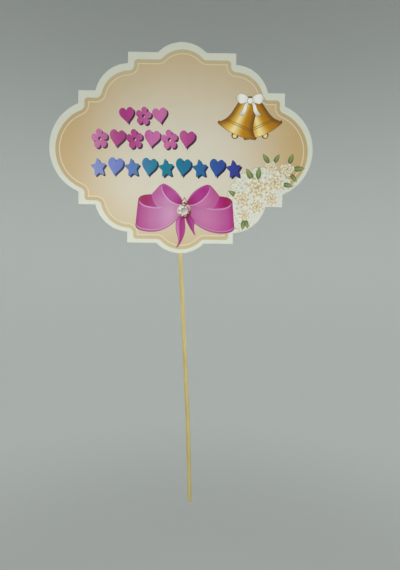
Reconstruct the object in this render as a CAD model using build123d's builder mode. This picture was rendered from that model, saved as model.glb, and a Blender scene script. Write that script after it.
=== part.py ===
from build123d import *
import os
from math import cos, radians, sin

# A hand-held sign: a shaped foam board with a printed face, glued to a bamboo stick.
# The origin is on the stick's axis, midway along the straight stretch that a hand holds.
# +Z is up through the sign, the printed face looks towards -Y. Millimetres.

# Outline of the board, one quarter of it, from the middle of the top to the middle of the right side
top_lobe_half_width = 21.8
top_lobe_rise = 9.2
top_shoulder_width = 26.9
top_shoulder_drop = 10.0
corner_lobe_width = 29.3
corner_lobe_height = 24.4
corner_lobe_bulge = 6.4
side_ear_width = 15.5
side_ear_drop = 11.5
side_lobe_half_height = 39.5
side_lobe_rise = 26.5

# Layers of the board, from the face to the back
film_thickness = 0.2
paper_thickness = 0.3
core_thickness = 4.4

# Stick: a straight held stretch, a slight natural bow, then a straight stretch up behind the board
stick_diameter = 4.0
stick_length = 300.0
stick_overlap = 58.0
stick_lean = 3.3
grip_length = 58.5
bow_angle = 1.2
bow_length = 26.0
tip_length = 7.0
tip_diameter = 2.7
tip_rounding = 0.6
top_end_chamfer = 0.4

# Hot-melt glue: a bed under the stick and two saddles over it
glue_line = 0.2
bed_half_width = 5.0
bed_height = 2.6
bed_from_board_edge = 4.0
bed_from_stick_end = 2.0
lower_saddle_from_board_edge = 13.0
lower_saddle_length = 15.0
upper_saddle_from_stick_end = 14.0
upper_saddle_length = 18.0
saddle_half_width = 9.0
saddle_cover = 1.2
saddle_flank_angle = 45.0
saddle_toe_angle = 20.0
saddle_end_wall = 0.8
saddle_end_cover = 0.4
saddle_end_angle = 80.0

# Corner points of the quarter outline, measured from the sign's centre
ear_bottom = side_lobe_half_height
ear_top = ear_bottom + side_ear_drop
shoulder_bottom = ear_top + corner_lobe_height
shoulder_top = shoulder_bottom + top_shoulder_drop
sign_top = shoulder_top + top_lobe_rise
shoulder_end = top_lobe_half_width + top_shoulder_width
ear_start = shoulder_end + corner_lobe_width
ear_end = ear_start + side_ear_width
sign_side = ear_end + side_lobe_rise

# The cartouche: lobes at the top, the corners and the sides, with square steps between them
with BuildSketch() as outline:
    with BuildLine():
        TangentArc((0, sign_top), (top_lobe_half_width, shoulder_top), tangent=(1, 0))
        Polyline(
            (top_lobe_half_width, shoulder_top),
            (shoulder_end, shoulder_top),
            (shoulder_end, shoulder_bottom),
        )
        SagittaArc((shoulder_end, shoulder_bottom), (ear_start, ear_top), corner_lobe_bulge)
        Polyline((ear_start, ear_top), (ear_end, ear_top), (ear_end, ear_bottom))
        TangentArc((sign_side, 0), (ear_end, ear_bottom), tangent=(0, 1))
        mirror(about=Plane.YZ)
        mirror(about=Plane.XZ)
    make_face()

# Centre line of the stick, from the lower end of the held stretch upwards
stick_radius = stick_diameter / 2
grip_angle = 90 + stick_lean - bow_angle
upper_length = stick_length - tip_length - grip_length - bow_length
grip_start = Vector(-grip_length / 2, 0, 0).rotate(Axis.Y, -grip_angle)

with BuildLine(Plane.XZ) as stick_line:
    grip = PolarLine(grip_start, grip_length, angle=grip_angle)
    bow = JernArc(grip @ 1, grip % 1, bow_length / radians(bow_angle), bow_angle)
    upper = PolarLine(bow @ 1, upper_length, angle=grip_angle + bow_angle)

up_stick = upper % 1
stick_end = upper @ 1
board_edge = stick_end - up_stick * stick_overlap

# The stick narrows to a blunt tip below and is cut square above
tip_plane = Plane(origin=grip @ 0, z_dir=-(grip % 0))
with BuildPart() as stick:
    with BuildSketch(Plane(origin=grip @ 0, z_dir=grip % 0)):
        Circle(stick_radius)
    sweep(path=stick_line.line)
    with BuildSketch(tip_plane):
        Circle(stick_radius)
    with BuildSketch(tip_plane.offset(tip_length)):
        Circle(tip_diameter / 2)
    loft()
    end_edges = stick.edges().filter_by(GeomType.CIRCLE).sort_by(Axis.Z)
    fillet(end_edges[0], radius=tip_rounding)
    chamfer(end_edges[-1], length=top_end_chamfer)
stick.part.label = "stick"

# The board's layers, stacked from the back face, which lies a glue line off the stick, to the print
back_face = Plane(
    origin=(board_edge.X, -stick_radius - glue_line, board_edge.Z + sign_top),
    x_dir=(1, 0, 0),
    z_dir=(0, -1, 0),
)
core_back = back_face.offset(paper_thickness)
core_front = core_back.offset(core_thickness)
film_back = core_front.offset(paper_thickness)

with BuildPart() as back_paper:
    with BuildSketch(back_face):
        add(outline.sketch)
    extrude(amount=paper_thickness)
back_paper.part.label = "back_paper"

with BuildPart() as foam_core:
    with BuildSketch(core_back):
        add(outline.sketch)
    extrude(amount=core_thickness)
foam_core.part.label = "foam_core"

with BuildPart() as front_paper:
    with BuildSketch(core_front):
        add(outline.sketch)
    extrude(amount=paper_thickness)
front_paper.part.label = "front_paper"

with BuildPart() as print_film:
    with BuildSketch(film_back):
        add(outline.sketch)
    extrude(amount=film_thickness)
print_film.part.label = "print_film"


# A plane across the stick, a distance up it from the board's lower edge, with its origin on the board's back
# and its y direction away from the board
def across_stick(distance):
    point = board_edge + up_stick * distance
    return Plane(
        origin=(point.X, back_face.origin.Y, point.Z),
        x_dir=Vector(0, 1, 0).cross(up_stick),
        z_dir=up_stick,
    )


# The bed is a low run of glue with domed ends, moulded to the underside of the stick
bed_top = stick_overlap - bed_from_stick_end
bed_run = bed_top - bed_from_board_edge - 2 * bed_half_width
bed_dome = across_stick(bed_from_board_edge + bed_half_width)

with BuildPart() as glue_bed:
    with BuildSketch(bed_dome) as bed_section:
        with BuildLine():
            ThreePointArc((-bed_half_width, 0), (0, bed_height), (bed_half_width, 0))
            Line((bed_half_width, 0), (-bed_half_width, 0))
        make_face()
    extrude(amount=bed_run / 2)
    with BuildSketch(bed_dome):
        add(bed_section.sketch_local)
        split(bisect_by=Plane.YZ)
    revolve(axis=Axis(bed_dome.origin, bed_dome.y_dir), revolution_arc=180)
    mirror(about=bed_dome.offset(bed_run / 2))
    add(stick.part, mode=Mode.SUBTRACT)
glue_bed.part.label = "glue_bed"


# A saddle of glue over the stick: widest and thickest in the middle, drawn in to a thin skin at both ends
def glue_saddle(middle, length):
    with BuildPart() as saddle:
        for place in (-1, -0.5, 0, 0.5, 1):
            fullness = 1 - place**2
            end_width = stick_radius + saddle_end_wall
            half_width = end_width + (saddle_half_width - end_width) * fullness
            cover = saddle_end_cover + (saddle_cover - saddle_end_cover) * fullness
            toe = radians(saddle_end_angle + (saddle_toe_angle - saddle_end_angle) * fullness)
            crown = stick_radius + cover
            axis_height = glue_line + stick_radius
            flank_x = crown * sin(radians(saddle_flank_angle))
            flank_y = axis_height + crown * cos(radians(saddle_flank_angle))
            with BuildSketch(across_stick(middle + place * length / 2)):
                with BuildLine():
                    Spline(
                        (half_width, 0),
                        (flank_x, flank_y),
                        (0, axis_height + crown),
                        (-flank_x, flank_y),
                        (-half_width, 0),
                        tangents=((-cos(toe), sin(toe)), (-cos(toe), -sin(toe))),
                    )
                    Line((-half_width, 0), (half_width, 0))
                make_face()
        loft()
        add(stick.part, mode=Mode.SUBTRACT)
        add(glue_bed.part, mode=Mode.SUBTRACT)
    return saddle.part


lower_glue_saddle = glue_saddle(lower_saddle_from_board_edge, lower_saddle_length)
lower_glue_saddle.label = "lower_glue_saddle"

upper_glue_saddle = glue_saddle(stick_overlap - upper_saddle_from_stick_end, upper_saddle_length)
upper_glue_saddle.label = "upper_glue_saddle"

os.makedirs("parts", exist_ok=True)
export_step(print_film.part, "parts/print_film.step")
export_step(front_paper.part, "parts/front_paper.step")
export_step(foam_core.part, "parts/foam_core.step")
export_step(back_paper.part, "parts/back_paper.step")
export_step(stick.part, "parts/stick.step")
export_step(glue_bed.part, "parts/glue_bed.step")
export_step(lower_glue_saddle, "parts/lower_glue_saddle.step")
export_step(upper_glue_saddle, "parts/upper_glue_saddle.step")

print(f"sign {2 * sign_side:.1f} x {2 * sign_top:.1f} mm, centred on {tuple(back_face.origin)}")
print(f"stick from {tuple(grip @ 0)} along {tuple(grip % 0)} to {tuple(stick_end)}")
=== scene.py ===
import math

import bmesh
import bpy
from mathutils import Matrix, Vector, geometry


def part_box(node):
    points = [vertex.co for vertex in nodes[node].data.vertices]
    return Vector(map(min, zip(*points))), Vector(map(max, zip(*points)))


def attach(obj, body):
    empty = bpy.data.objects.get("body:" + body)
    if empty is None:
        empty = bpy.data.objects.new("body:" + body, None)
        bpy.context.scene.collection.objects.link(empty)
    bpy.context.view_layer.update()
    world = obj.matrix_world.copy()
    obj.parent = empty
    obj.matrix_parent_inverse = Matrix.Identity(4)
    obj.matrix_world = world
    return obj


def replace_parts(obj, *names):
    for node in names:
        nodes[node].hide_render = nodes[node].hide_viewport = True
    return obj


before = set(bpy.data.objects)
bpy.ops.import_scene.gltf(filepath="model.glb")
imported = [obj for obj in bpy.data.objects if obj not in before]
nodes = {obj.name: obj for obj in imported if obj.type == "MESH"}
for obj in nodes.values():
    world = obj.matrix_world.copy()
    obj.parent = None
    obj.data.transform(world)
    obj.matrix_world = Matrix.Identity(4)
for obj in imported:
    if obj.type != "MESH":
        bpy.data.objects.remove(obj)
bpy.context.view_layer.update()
mm = 0.001
scene = bpy.context.scene
scene.view_settings.view_transform = "Standard"
print("frame loaded:", len(nodes), "solids")

# The printed face: its middle, in the plane that the inks stand on
filmLow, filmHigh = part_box("print_film")
faceCentre = (filmLow + filmHigh) / 2
faceCentre.y = filmLow.y


def paint(red, green, blue):  # screen colour, 0 to 255, as a linear colour
    def linear(value):
        value /= 255
        return value / 12.92 if value <= 0.04045 else ((value + 0.055) / 1.055) ** 2.4

    return (linear(red), linear(green), linear(blue), 1.0)


class Wire:
    # a socket that takes part in sums: each operator adds a Math node
    def __init__(self, book, socket):
        self.book = book
        self.socket = socket

    def __add__(self, other):
        return self.book.maths("ADD", self, other)

    def __radd__(self, other):
        return self.book.maths("ADD", other, self)

    def __sub__(self, other):
        return self.book.maths("SUBTRACT", self, other)

    def __rsub__(self, other):
        return self.book.maths("SUBTRACT", other, self)

    def __mul__(self, other):
        return self.book.maths("MULTIPLY", self, other)

    def __rmul__(self, other):
        return self.book.maths("MULTIPLY", other, self)

    def __truediv__(self, other):
        return self.book.maths("DIVIDE", self, other)

    def __rtruediv__(self, other):
        return self.book.maths("DIVIDE", other, self)

    def __pow__(self, other):
        return self.book.maths("POWER", self, other)

    def __neg__(self):
        return self.book.maths("MULTIPLY", self, -1.0)

    def __abs__(self):
        return self.book.maths("ABSOLUTE", self)


class NodeBook:
    # a node tree that nodes are added to, by type, settings and sockets
    def add(self, kind, settings=None, sockets=None, output=0):
        node = self.tree.nodes.new(kind)
        for name, value in (settings or {}).items():
            if name == "stops":
                self.setStops(node.color_ramp, value)
            else:
                setattr(node, name, value)
        for name, value in (sockets or {}).items():
            self.plug(node.inputs[name], value)
        return Wire(self, node.outputs[output])

    def plug(self, socket, value):
        if isinstance(value, Wire):
            self.tree.links.new(value.socket, socket)
        else:
            socket.default_value = value[:3] if socket.type == "VECTOR" else value

    def setStops(self, ramp, stops):  # each stop is a place and a screen colour
        ramp.interpolation = "CARDINAL"
        while len(ramp.elements) < len(stops):
            ramp.elements.new(1.0)
        for element, (place, colour) in zip(ramp.elements, stops):
            element.position = place
            element.color = paint(*colour)

    def maths(self, operation, first, second=0.0):
        return self.add("ShaderNodeMath", {"operation": operation}, {0: first, 1: second})

    def ramp(self, value, low, high):  # smooth 0 to 1 as the value goes from low to high
        settings = {"interpolation_type": "SMOOTHSTEP"}
        return self.add("ShaderNodeMapRange", settings, {"Value": value, "From Min": low, "From Max": high})

    def parts(self, vector):  # x, y and z of a vector
        split = self.add("ShaderNodeSeparateXYZ", {}, {0: vector})
        return [Wire(self, socket) for socket in split.socket.node.outputs]


class Finish(NodeBook):
    # a material around one Principled shader
    def __init__(self, name, **constants):
        self.material = bpy.data.materials.new(name)
        self.material.use_nodes = True
        self.tree = self.material.node_tree
        self.tree.nodes.clear()
        self.shader = self.tree.nodes.new("ShaderNodeBsdfPrincipled")
        output = self.tree.nodes.new("ShaderNodeOutputMaterial")
        self.tree.links.new(self.shader.outputs[0], output.inputs["Surface"])
        for socket, value in constants.items():
            self.shader.inputs[socket.replace("_", " ")].default_value = value

    def feed(self, name, value):
        self.plug(self.shader.inputs[name], value)

    def place(self, centre=(0, 0, 0), turn=(0, 0, 0), stretch=(1, 1, 1)):  # millimetres from a centre
        point = self.add("ShaderNodeTexCoord", output="Object")
        local = self.add("ShaderNodeVectorMath", {"operation": "SUBTRACT"}, {0: point, 1: centre})
        scale = [part / mm for part in stretch]
        return self.add("ShaderNodeMapping", {}, {"Vector": local, "Rotation": turn, "Scale": scale})

    def marks(self):  # the place along and across a ribbon
        return self.add("ShaderNodeUVMap", {"uv_map": "UVMap"})

    def noise(self, point, size, detail=2.0, roughness=0.5):  # size is the width of a patch
        sockets = {"Vector": point, "Scale": 1 / size, "Detail": detail, "Roughness": roughness}
        return self.add("ShaderNodeTexNoise", {}, sockets)

    def vary(self, point, size, depth, detail=2.0):  # noise to both sides of zero
        return (self.noise(point, size, detail) - 0.5) * depth

    def blend(self, share, first, second, kind="MIX"):
        settings = {"data_type": "RGBA", "blend_type": kind}
        return self.add("ShaderNodeMix", settings, {0: share, 6: first, 7: second}, 2)

    def tone(self, colour, value):  # a colour made lighter or darker
        return self.add("ShaderNodeVectorMath", {"operation": "SCALE"}, {0: colour, "Scale": value})

    def stops(self, value, stops):  # a row of colours along a value
        return self.add("ShaderNodeValToRGB", {"stops": stops}, {0: value})

    def bump(self, height, depth, strength=1.0):
        sockets = {"Height": height, "Distance": depth, "Strength": strength}
        self.feed("Normal", self.add("ShaderNodeBump", {}, sockets))


def addObject(name, data):
    made = bpy.data.objects.new(name, data)
    scene.collection.objects.link(made)
    return made


def toMesh(name, gathered):
    data = bpy.data.meshes.new(name)
    gathered.to_mesh(data)
    gathered.free()
    return data


def meshOf(piece):  # the plain mesh that its modifier makes
    bpy.context.view_layer.update()
    ready = piece.evaluated_get(bpy.context.evaluated_depsgraph_get())
    return bpy.data.meshes.new_from_object(ready)


def keep(piece):
    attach(piece, "root")
    return piece


class Maker(NodeBook):
    # a geometry tree with named inputs, a finish among them
    def __init__(self, name, inputs):
        self.tree = bpy.data.node_groups.new(name, "GeometryNodeTree")
        self.tree.is_modifier = True
        interface = self.tree.interface
        for label, kind in {"Geometry": "Geometry", **inputs, "Finish": "Material"}.items():
            interface.new_socket(label, in_out="INPUT", socket_type="NodeSocket" + kind)
        interface.new_socket("Geometry", in_out="OUTPUT", socket_type="NodeSocketGeometry")
        self.source = self.tree.nodes.new("NodeGroupInput")
        self.result = self.tree.nodes.new("NodeGroupOutput")

    def input(self, label):
        return Wire(self, self.source.outputs[label])

    def vector(self, x, y, z):
        return self.add("ShaderNodeCombineXYZ", {}, {0: x, 1: y, 2: z})

    def read(self, name, kind="FLOAT"):  # a value that is stored on the points
        return self.add("GeometryNodeInputNamedAttribute", {"data_type": kind}, {"Name": name})

    def store(self, shape, name, value, kind="FLOAT"):
        sockets = {"Geometry": shape, "Name": name, "Value": value}
        return self.add("GeometryNodeStoreNamedAttribute", {"data_type": kind, "domain": "POINT"}, sockets)

    def noise(self, point, scale, detail):  # to both sides of zero
        return self.add("ShaderNodeTexNoise", {}, {"Vector": point, "Scale": scale, "Detail": detail}) - 0.5

    def pushed(self, shape, distance):  # moved along its normals, and shaded smooth
        normal = self.add("GeometryNodeInputNormal")
        offset = self.add("ShaderNodeVectorMath", {"operation": "SCALE"}, {0: normal, "Scale": distance})
        moved = self.add("GeometryNodeSetPosition", {}, {"Geometry": shape, "Offset": offset})
        return self.add("GeometryNodeSetShadeSmooth", {}, {"Geometry": moved, "Shade Smooth": True})

    def copies(self, points, label, turn, size, chosen=True):  # an input object, once on each point
        shape = self.add("GeometryNodeObjectInfo", {}, {"Object": self.input(label)}, "Geometry")
        sockets = {"Points": points, "Selection": chosen, "Instance": shape, "Rotation": turn, "Scale": size}
        return self.add("GeometryNodeInstanceOnPoints", {}, sockets)

    def close(self, shape):
        real = self.add("GeometryNodeRealizeInstances", {}, {"Geometry": shape})
        done = self.add("GeometryNodeSetMaterial", {}, {"Geometry": real, "Material": self.input("Finish")})
        self.plug(self.result.inputs[0], done)

    def run(self, name, values, start=None):  # a new object with the tree's result as its plain mesh
        piece = addObject(name, start or bpy.data.meshes.new(name))
        modifier = piece.modifiers.new("making", "NODES")
        modifier.node_group = self.tree
        for item in self.tree.interface.items_tree:
            if item.in_out == "INPUT" and item.name in values:
                modifier[item.identifier] = values[item.name]
        made = meshOf(piece)
        piece.modifiers.remove(modifier)
        piece.data = made
        return piece


# Lines and shapes on the face, in millimetres from its middle: x to the right, z up
def rimLoop(node, flatness=1e-6):  # the printed face's own outline, counter-clockwise
    mesh = node.data
    following = {}
    for face in mesh.polygons:
        corners = [mesh.vertices[i].co for i in face.vertices]
        if all(abs(corner.y - faceCentre.y) < flatness for corner in corners):
            keys = [(round(corner.x / mm, 3), round(corner.z / mm, 3)) for corner in corners]
            for here, there in zip(keys, keys[1:] + keys[:1]):
                following.setdefault(here, set()).add(there)
    rim = {}
    for here, theres in following.items():
        for there in theres:
            if here not in following.get(there, ()):
                rim[here] = there
    first = next(iter(rim))
    loop = [first]
    while rim[loop[-1]] != first:
        loop.append(rim[loop[-1]])
    middle = Vector((faceCentre.x, faceCentre.z)) / mm
    return counterClockwise([Vector(point) - middle for point in loop])


def counterClockwise(loop):
    area = sum(loop[i - 1].cross(loop[i]) for i in range(len(loop)))
    return loop if area > 0 else loop[::-1]


def inset(loop, distance, sharpTurn=0.3, step=0.12):
    # moves a loop inwards: its outer corners stay sharp, its inner corners go round their point
    moved = []
    for i, point in enumerate(loop):
        before = (point - loop[i - 1]).normalized()
        after = (loop[(i + 1) % len(loop)] - point).normalized()
        turn = math.atan2(before.cross(after), before.dot(after))
        inward = Vector((-before.y, before.x))
        if turn * distance < 0 and abs(turn) > sharpTurn:
            cuts = math.ceil(abs(turn) / step)
            for cut in range(cuts + 1):
                moved.append(point + Matrix.Rotation(turn * cut / cuts, 2) @ inward * distance)
        else:
            half = (inward + Vector((-after.y, after.x))).normalized()
            moved.append(point + half * distance / half.dot(inward))
    return moved


def spaced(loop, gap=1e-3):  # without points that nearly fall together
    return [point for i, point in enumerate(loop) if (point - loop[i - 1]).length > gap]


def turned(points, centre, size, degrees=0.0, mirror=1):  # a unit shape, sized, turned and put in its place
    turn = Matrix.Rotation(math.radians(degrees), 2)
    return [Vector(centre) + turn @ Vector((x * mirror, z)) * size for x, z in points]


def mirrored(points):
    return [(-x, z) for x, z in points]


def ring(centre, radius, count):
    angles = [2 * math.pi * i / count for i in range(count)]
    return [Vector((centre[0] + radius * math.cos(a), centre[1] + radius * math.sin(a))) for a in angles]


def curveThrough(points, count, finer=12):  # a smooth line through the points, in equal steps
    knots = [Vector(point) for point in points]
    knots = [2 * knots[0] - knots[1]] + knots + [2 * knots[-1] - knots[-2]]
    fine = []
    for a, b, c, d in zip(knots, knots[1:], knots[2:], knots[3:]):
        for k in range(finer):
            t = k / finer
            bend = (2 * a - 5 * b + 4 * c - d) * t**2 + (3 * b - a - 3 * c + d) * t**3
            fine.append((2 * b + (c - a) * t + bend) / 2)
    fine.append(knots[-2])
    reach = [0.0]
    for here, there in zip(fine, fine[1:]):
        reach.append(reach[-1] + (there - here).length)
    line = []
    spot = 0
    for k in range(count + 1):
        want = reach[-1] * k / count
        while spot < len(fine) - 2 and reach[spot + 1] < want:
            spot += 1
        gap = max(reach[spot + 1] - reach[spot], 1e-9)
        line.append(fine[spot].lerp(fine[spot + 1], min((want - reach[spot]) / gap, 1.0)))
    return line


def cutShape(loops, inkOf, merge=1e-5):  # triangles of the plane, each inked by the loops around it
    spots = []
    outlines = []
    for loop in loops:
        outlines.append(list(range(len(spots), len(spots) + len(loop))))
        spots.extend(counterClockwise(loop))
    found = geometry.delaunay_2d_cdt(spots, [], outlines, 0, merge, True)
    inks = [inkOf(set(owners)) for owners in found[5]]
    faces = [list(face) for face, ink in zip(found[2], inks) if ink]
    return found[0], faces, [ink for ink in inks if ink]


def ribbonGrid(firstEdge, secondEdge, along, across):
    # a band between two edges: its points, its faces, and each point's place along and across it
    first = curveThrough(firstEdge, along)
    second = curveThrough(secondEdge, along)
    spots = []
    uv = []
    for i in range(along + 1):
        for j in range(across + 1):
            spots.append(first[i].lerp(second[i], j / across))
            uv.append((i / along, j / across))
    faces = []
    for i in range(along):
        for j in range(across):
            a = i * (across + 1) + j
            faces.append([a, a + across + 1, a + across + 2, a + 1])
    if sum(spots[face[k - 1]].cross(spots[face[k]]) for face in faces for k in range(4)) < 0:
        faces = [face[::-1] for face in faces]
    return spots, faces, uv


class FlatShapes:
    # gathers flat shapes into one mesh, each a thin closed slab between two planes
    def __init__(self, name):
        self.name = name
        self.mesh = bmesh.new()
        self.marks = self.mesh.loops.layers.uv.new("UVMap")
        self.finishes = []

    def slab(self, spots, faces, frontY, backY, inks, uv=None):
        seen = {}  # points that fall together share one corner
        own = [seen.setdefault((round(spot[0], 3), round(spot[1], 3)), i) for i, spot in enumerate(spots)]
        front, back, edges = {}, {}, {}
        for face, ink in zip(faces, inks):
            face = [i for k, i in enumerate(face) if own[i] != own[face[k - 1]]]
            if len(face) < 3:
                continue
            for i in face:
                if own[i] not in front:
                    front[own[i]] = self.mesh.verts.new(self.point(spots[own[i]], frontY))
                    back[own[i]] = self.mesh.verts.new(self.point(spots[own[i]], backY))
            self.face([front[own[i]] for i in face], face, ink, uv)
            self.face([back[own[i]] for i in reversed(face)], face[::-1], ink, uv)
            for a, b in zip(face, face[1:] + face[:1]):
                edges[own[a], own[b]] = (a, b, ink)
        for (a, b), (first, second, ink) in edges.items():
            if (b, a) not in edges:
                corners = [front[a], back[a], back[b], front[b]]
                self.face(corners, [first, first, second, second], ink, uv)

    def face(self, corners, indices, ink, uv):
        made = self.mesh.faces.new(corners)
        if isinstance(ink, bpy.types.Material):
            if ink not in self.finishes:
                self.finishes.append(ink)
            made.material_index = self.finishes.index(ink)
        if uv:
            for loop, i in zip(made.loops, indices):
                loop[self.marks].uv = uv[i]

    def point(self, spot, y):
        return (spot[0], y, spot[1])

    def build(self):
        data = toMesh(self.name, self.mesh)
        for finish in self.finishes:
            data.materials.append(finish)
        return data


class PrintLayer(FlatShapes):
    # shapes in millimetres on the printed face, a level is one thickness of ink
    inkStep = 0.02 * mm
    inkRoot = 0.005 * mm

    def point(self, spot, y):
        return (faceCentre.x + spot[0] * mm, faceCentre.y + y, faceCentre.z + spot[1] * mm)

    def shape(self, loops, level, ink):  # one ink, or a function that picks it by the loops around a face
        inkOf = ink if callable(ink) else (lambda owners: owners == {0} and ink)
        spots, faces, inks = cutShape(loops, inkOf)
        self.slab(spots, faces, -level * self.inkStep, self.inkRoot, inks)

    def ribbon(self, sides, level, ink, along, across):
        spots, faces, uv = ribbonGrid(*sides, along, across)
        self.slab(spots, faces, -level * self.inkStep, self.inkRoot, [ink] * len(faces), uv)

    def outline(self, sides, width, level, ink, along=40, gap=0.01):  # a line around a ribbon, laid below it
        first, second = [curveThrough(side, along) for side in sides]
        loop = counterClockwise(spaced(first + second[::-1]))
        self.shape([spaced(inset(loop, -width), gap)], level, ink)

    def place(self):
        keep(addObject(self.name, self.build()))


# Satin print: every ink has the film's sheen, a fine grain and a slight unevenness
satin = {
    "ior": 1.47, "roughness": 0.3, "roughnessSpread": 0.12, "roughnessPatch": 9.0,
    "grain": 0.35, "grainShade": 0.05, "cloud": 14.0, "cloudShade": 0.05, "peel": 1.6, "peelDepth": 0.004,
}


def printed(name, colourOf):  # colourOf adds the nodes of the ink's own colour
    finish = Finish(name, IOR=satin["ior"])
    point = finish.place(faceCentre)
    colour = colourOf(finish, point)
    grain = finish.vary(point, satin["grain"], satin["grainShade"], detail=1.0)
    cloud = finish.vary(point, satin["cloud"], satin["cloudShade"])
    finish.feed("Base Color", finish.tone(colour, grain + cloud + 1.0))
    patches = finish.noise(point, satin["roughnessPatch"], detail=3.0)
    finish.feed("Roughness", patches * satin["roughnessSpread"] + satin["roughness"])
    finish.bump(finish.noise(point, satin["peel"]), satin["peelDepth"] * mm)
    return finish.material


def plainInk(name, colour):
    return printed(name, lambda finish, point: colour)


# Ribbon print: colours along the ribbon, soft lines along it, and a fine weave
ribbonPrint = {
    "lineCore": 0.3, "lineStart": 0.04, "lineEnd": 0.1,
    "weave": (1.5, 26.0, 1.0), "weaveShade": 0.1,
}


def ribbonInk(name, stops, lines=(), across=None, lineShare=0.85):
    # a line has a place across the ribbon, half a width, a colour, a start and an end
    def colourOf(finish, point):
        marks = finish.marks()
        along, side, _ = finish.parts(marks)
        colour = finish.stops(along, stops)
        for at, half, lineColour, start, end in lines:
            near = 1 - finish.ramp(abs(side - at), half * ribbonPrint["lineCore"], half)
            span = finish.ramp(along, start - ribbonPrint["lineStart"], start)
            span = span * (1 - finish.ramp(along, end - ribbonPrint["lineEnd"], end))
            colour = finish.blend(near * span * lineShare, colour, paint(*lineColour))
        if across:
            colour = finish.blend(1.0, colour, finish.stops(side, across), "MULTIPLY")
        weave = finish.add("ShaderNodeMapping", {}, {"Vector": marks, "Scale": ribbonPrint["weave"]})
        return finish.tone(colour, finish.vary(weave, size=1.0, depth=ribbonPrint["weaveShade"]) + 1)

    return printed(name, colourOf)


# Board: the film's warm white margin, two paper facings, and the foam between them
film = {"colour": paint(224, 226, 211)}
paper = {
    "colour": paint(232, 232, 226), "shade": 0.92, "ior": 1.45, "cloud": 22.0, "cloudShade": 0.08,
    "fibre": 0.5, "fibreTurn": (0, 0.6, 0), "fibreStretch": (1, 1, 0.35), "fibreShade": 0.07,
    "fibreDepth": 0.02, "cutShade": 0.3, "cutFacing": (0.3, 0.7), "roughness": 0.72, "roughnessSpread": 0.2,
}
foam = {
    "colour": paint(238, 238, 234), "shade": 0.86, "ior": 1.4, "cloud": 6.0, "cloudShade": 0.04,
    "cell": 0.45, "cellShade": 0.1, "cellDepth": 0.6,
    "blade": 0.5, "bladeStretch": (1, 0.06, 1), "bladeShade": 0.14, "bladeDepth": 1.4,
    "depth": 0.1, "bump": 0.7, "roughness": 0.8, "roughnessSpread": 0.15,
}


def paperFinish():
    finish = Finish("boardPaper", IOR=paper["ior"])
    point = finish.place(faceCentre)
    fibrePoint = finish.place(faceCentre, paper["fibreTurn"], paper["fibreStretch"])
    fibres = finish.noise(fibrePoint, paper["fibre"], detail=4.0, roughness=0.65)
    cloud = finish.noise(point, paper["cloud"], detail=3.0)
    _, facing, _ = finish.parts(finish.add("ShaderNodeTexCoord", output="Normal"))
    cut = 1 - finish.ramp(abs(facing), *paper["cutFacing"])  # the cut edge is greyer than the sheet
    shade = fibres * paper["fibreShade"] + cloud * paper["cloudShade"] + paper["shade"]
    finish.feed("Base Color", finish.tone(paper["colour"], shade * (1 - cut * paper["cutShade"])))
    finish.feed("Roughness", fibres * paper["roughnessSpread"] + paper["roughness"])
    finish.bump(fibres, paper["fibreDepth"] * mm)
    return finish.material


def foamFinish():
    finish = Finish("foamEdge", IOR=foam["ior"])
    point = finish.place(faceCentre)
    cells = finish.add("ShaderNodeTexVoronoi", {}, {"Vector": point, "Scale": 1 / foam["cell"]})
    through = finish.place(faceCentre, stretch=foam["bladeStretch"])
    blade = finish.noise(through, foam["blade"], detail=3.0, roughness=0.6)  # lines that the blade left
    cloud = finish.noise(point, foam["cloud"])
    shade = cells * foam["cellShade"] + blade * foam["bladeShade"]
    shade = shade + cloud * foam["cloudShade"] + foam["shade"]
    finish.feed("Base Color", finish.tone(foam["colour"], shade))
    finish.feed("Roughness", cells * foam["roughnessSpread"] + foam["roughness"])
    finish.bump(cells * foam["cellDepth"] + blade * foam["bladeDepth"], foam["depth"] * mm, foam["bump"])
    return finish.material


paperMaterial = paperFinish()
boardFinishes = {
    "print_film": plainInk("filmWhite", film["colour"]), "front_paper": paperMaterial,
    "foam_core": foamFinish(), "back_paper": paperMaterial,
}
for name, material in boardFinishes.items():
    nodes[name].data.materials.clear()
    nodes[name].data.materials.append(material)
print("board finished")

# Glue: milky, a little see-through, with lumps and ripples that grow away from the board
glue = {
    "pieces": {"glue_bed": "glueBedDressed", "lower_glue_saddle": "lowerGlueSaddleDressed",
               "upper_glue_saddle": "upperGlueSaddleDressed"},
    "colour": paint(224, 215, 188), "shade": 0.88, "shadeSpread": 0.2, "patch": 3.0,
    "ior": 1.48, "milk": 0.35, "milkDepth": 2.0, "roughness": 0.06, "roughnessSpread": 0.16,
    "depth": 0.05, "bump": 0.5, "grid": 0.28, "heldBelow": 0.05, "freeAbove": 0.9,
    "lump": 5.0, "lumpHeight": 1.0, "ripple": 1.3, "rippleHeight": 0.22,
}


def glueFinish():
    finish = Finish("hotGlue", IOR=glue["ior"], Subsurface_Weight=glue["milk"],
                    Subsurface_Scale=glue["milkDepth"] * mm)
    cloud = finish.noise(finish.place(), glue["patch"], detail=3.0)
    finish.feed("Base Color", finish.tone(glue["colour"], cloud * glue["shadeSpread"] + glue["shade"]))
    finish.feed("Roughness", cloud * glue["roughnessSpread"] + glue["roughness"])
    finish.bump(cloud, glue["depth"] * mm, glue["bump"])
    return finish.material


def evened(mesh, size, merge=1e-7):  # the same shape in small even faces
    merged = bmesh.new()
    merged.from_mesh(mesh)
    bmesh.ops.remove_doubles(merged, verts=merged.verts, dist=merge)
    piece = addObject("evened", toMesh("evened", merged))
    remesh = piece.modifiers.new("even", "REMESH")
    remesh.mode = "VOXEL"
    remesh.voxel_size = size
    made = meshOf(piece)
    bpy.data.objects.remove(piece)
    return made


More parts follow.
